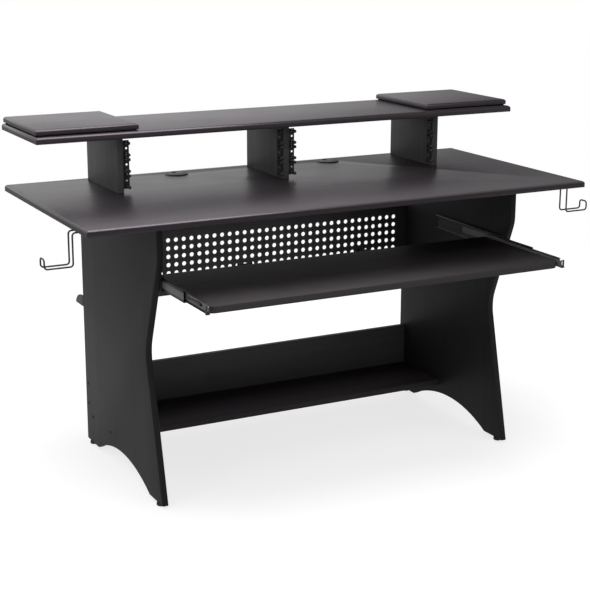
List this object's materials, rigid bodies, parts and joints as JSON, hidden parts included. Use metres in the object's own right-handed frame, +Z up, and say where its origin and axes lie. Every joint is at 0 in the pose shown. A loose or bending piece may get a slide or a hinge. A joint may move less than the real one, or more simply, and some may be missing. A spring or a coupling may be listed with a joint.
{
  "type": "studio desk",
  "caption": "Wide studio desk with waisted side panels, raised shelf over two rack bays, perforated modesty panel, side hooks and a keyboard tray on telescopic slides.",
  "frame": {"origin": "on the floor, in the middle of the space that the desk takes up with its keyboard tray pulled out as stored", "axes": "+X to the right as seen from the seat, +Y towards the wall behind the desk, +Z up"},
  "size_m": [1.6654, 0.8964, 0.971],
  "materials": {
    "top_board": "dark brown-black melamine with a faint wood grain, satin",
    "panel_board": "black melamine with a faint upright wood grain, satin",
    "black_steel": "black powder coat",
    "zinc_steel": "bright zinc plate",
    "slide_steel": "black electro-coated steel, satin",
    "black_plastic": "black moulded plastic",
    "pad_rubber": "black foam rubber sheet"
  },
  "bodies": {
    "desk": {"tabletop": "top_board", "upper_shelf": "top_board", "speaker_platform_left": "top_board", "speaker_platform_right": "top_board", "foot_shelf": "top_board", "side_panel_left": "panel_board", "side_panel_right": "panel_board", "lower_back_board": "panel_board", "riser_left": "panel_board", "riser_centre": "panel_board", "riser_right": "panel_board", "platform_pad_left": "pad_rubber", "platform_pad_right": "pad_rubber", "modesty_panel": "black_steel", "cable_tray": "black_steel", "sheet_cleat_lower_left": "black_steel", "sheet_cleat_upper_left": "black_steel", "sheet_cleat_lower_right": "black_steel", "sheet_cleat_upper_right": "black_steel", "rack_rail_left_outer": "black_steel", "rack_rail_left_inner": "black_steel", "rack_rail_right_inner": "black_steel", "rack_rail_right_outer": "black_steel", "hook_left": "black_steel", "hook_right": "black_steel", "grommet_ring_left": "black_plastic", "grommet_ring_right": "black_plastic", "foot_glide_front_left": "black_plastic", "foot_glide_rear_left": "black_plastic", "foot_glide_front_right": "black_plastic", "foot_glide_rear_right": "black_plastic", "slide_outer_left": "slide_steel", "slide_outer_right": "slide_steel", "top_bracket_front_left": "zinc_steel", "top_bracket_rear_left": "zinc_steel", "top_bracket_front_right": "zinc_steel", "top_bracket_rear_right": "zinc_steel"},
    "tray": {"keyboard_tray": "top_board", "slide_inner_left": "slide_steel", "slide_inner_right": "slide_steel"},
    "middle_left": {"slide_middle_left": "slide_steel"},
    "middle_right": {"slide_middle_right": "slide_steel"},
    "cage_outer_left": {"retainer_outer_left": "zinc_steel"},
    "cage_outer_right": {"retainer_outer_right": "zinc_steel"},
    "cage_inner_left": {"retainer_inner_left": "zinc_steel"},
    "cage_inner_right": {"retainer_inner_right": "zinc_steel"},
    "lever_left": {"slide_lever_left": "black_plastic"},
    "lever_right": {"slide_lever_right": "black_plastic"},
    "cap_left": {"grommet_cap_left": "black_plastic"},
    "cap_right": {"grommet_cap_right": "black_plastic"}
  },
  "joints": [
    {"name": "tray_slide", "type": "slide", "parent": "desk", "child": "tray", "axis": [0, 1, 0], "range_m": [-0.078, 0.272]},
    {"name": "middle_slide_left", "type": "slide", "parent": "desk", "child": "middle_left", "axis": [0, 1, 0], "range_m": [-0.039, 0.136]},
    {"name": "middle_slide_right", "type": "slide", "parent": "desk", "child": "middle_right", "axis": [0, 1, 0], "range_m": [-0.039, 0.136]},
    {"name": "cage_outer_slide_left", "type": "slide", "parent": "desk", "child": "cage_outer_left", "axis": [0, 1, 0], "range_m": [-0.0195, 0.068]},
    {"name": "cage_outer_slide_right", "type": "slide", "parent": "desk", "child": "cage_outer_right", "axis": [0, 1, 0], "range_m": [-0.0195, 0.068]},
    {"name": "cage_inner_slide_left", "type": "slide", "parent": "desk", "child": "cage_inner_left", "axis": [0, 1, 0], "range_m": [-0.0585, 0.204]},
    {"name": "cage_inner_slide_right", "type": "slide", "parent": "desk", "child": "cage_inner_right", "axis": [0, 1, 0], "range_m": [-0.0585, 0.204]},
    {"name": "lever_tilt_left", "type": "hinge", "parent": "tray", "child": "lever_left", "pos_m": [-0.5217, -0.36925, 0.605], "axis": [1, 0, 0], "range_deg": [-8, 8], "stiffness_Nm_per_rad": 0.05},
    {"name": "lever_tilt_right", "type": "hinge", "parent": "tray", "child": "lever_right", "pos_m": [0.5217, -0.36925, 0.605], "axis": [1, 0, 0], "range_deg": [-8, 8], "stiffness_Nm_per_rad": 0.05},
    {"name": "cap_turn_left", "type": "hinge", "parent": "desk", "child": "cap_left", "pos_m": [-0.2525, 0.37875, 0.7811], "axis": [0, 0, 1], "continuous": true},
    {"name": "cap_turn_right", "type": "hinge", "parent": "desk", "child": "cap_right", "pos_m": [0.2525, 0.37875, 0.7811], "axis": [0, 0, 1], "continuous": true}
  ],
  "couplings": [
    {"joint": "middle_slide_left", "follows": "tray_slide", "ratio": 0.5},
    {"joint": "middle_slide_right", "follows": "tray_slide", "ratio": 0.5},
    {"joint": "cage_outer_slide_left", "follows": "tray_slide", "ratio": 0.25},
    {"joint": "cage_outer_slide_right", "follows": "tray_slide", "ratio": 0.25},
    {"joint": "cage_inner_slide_left", "follows": "tray_slide", "ratio": 0.75},
    {"joint": "cage_inner_slide_right", "follows": "tray_slide", "ratio": 0.75}
  ]
}
